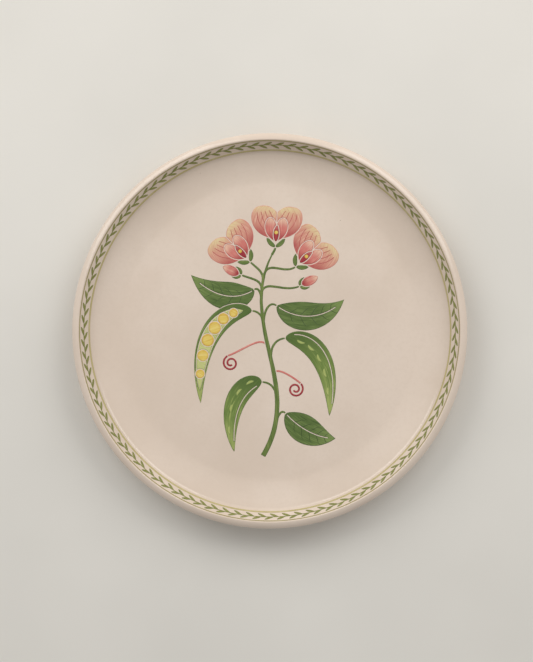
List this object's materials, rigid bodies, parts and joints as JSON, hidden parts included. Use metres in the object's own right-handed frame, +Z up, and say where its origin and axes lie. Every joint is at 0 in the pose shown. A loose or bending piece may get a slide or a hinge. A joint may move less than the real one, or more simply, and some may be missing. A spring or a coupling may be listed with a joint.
{
  "type": "plate",
  "caption": "Round glazed ceramic plate with a flat well, a low sloping wall with a leaf border, a thick rolled rim and a foot ring, for serving food.",
  "frame": {"origin": "on the table, at the middle of the foot ring's standing face, under the centre of the plate", "axes": "+Z up out of the well; +Y towards the blossoms of the painted sprig, the top of the plate as it is looked at; +X to the right"},
  "size_m": [0.26, 0.26, 0.022],
  "materials": {
    "bare_clay": "matte",
    "cream_glaze": "gloss",
    "rim_olive": "gloss",
    "well_olive": "gloss",
    "border_stem_green": "gloss",
    "border_green": "gloss",
    "stem_green": "gloss",
    "leaf_green": "gloss",
    "vein_green": "gloss",
    "pod_green": "gloss",
    "pale_green": "gloss",
    "pea_yellow": "gloss",
    "petal_salmon": "gloss",
    "vein_red": "gloss",
    "rose": "gloss",
    "crimson": "gloss",
    "bud_red": "gloss"
  },
  "bodies": {
    "root": {"clay_body": "bare_clay", "main_glaze": "cream_glaze", "foot_hollow_glaze": "cream_glaze", "rim_line": "rim_olive", "well_line": "well_olive", "border_stem": "border_stem_green", "outer_border_leaves": "border_green", "inner_border_leaves": "border_green", "sprig_stems": "stem_green", "leaves": "leaf_green", "leaf_veins": "vein_green", "pods": "pod_green", "pod_linings": "pale_green", "pod_lights": "pale_green", "peas": "pea_yellow", "banner_petals": "petal_salmon", "banner_veins": "vein_red", "wing_petals": "rose", "keel_petals": "crimson", "blossom_hearts": "pea_yellow", "buds": "bud_red", "calyxes": "stem_green", "tendrils": "rose", "tendril_curls": "crimson"}
  },
  "joints": []
}
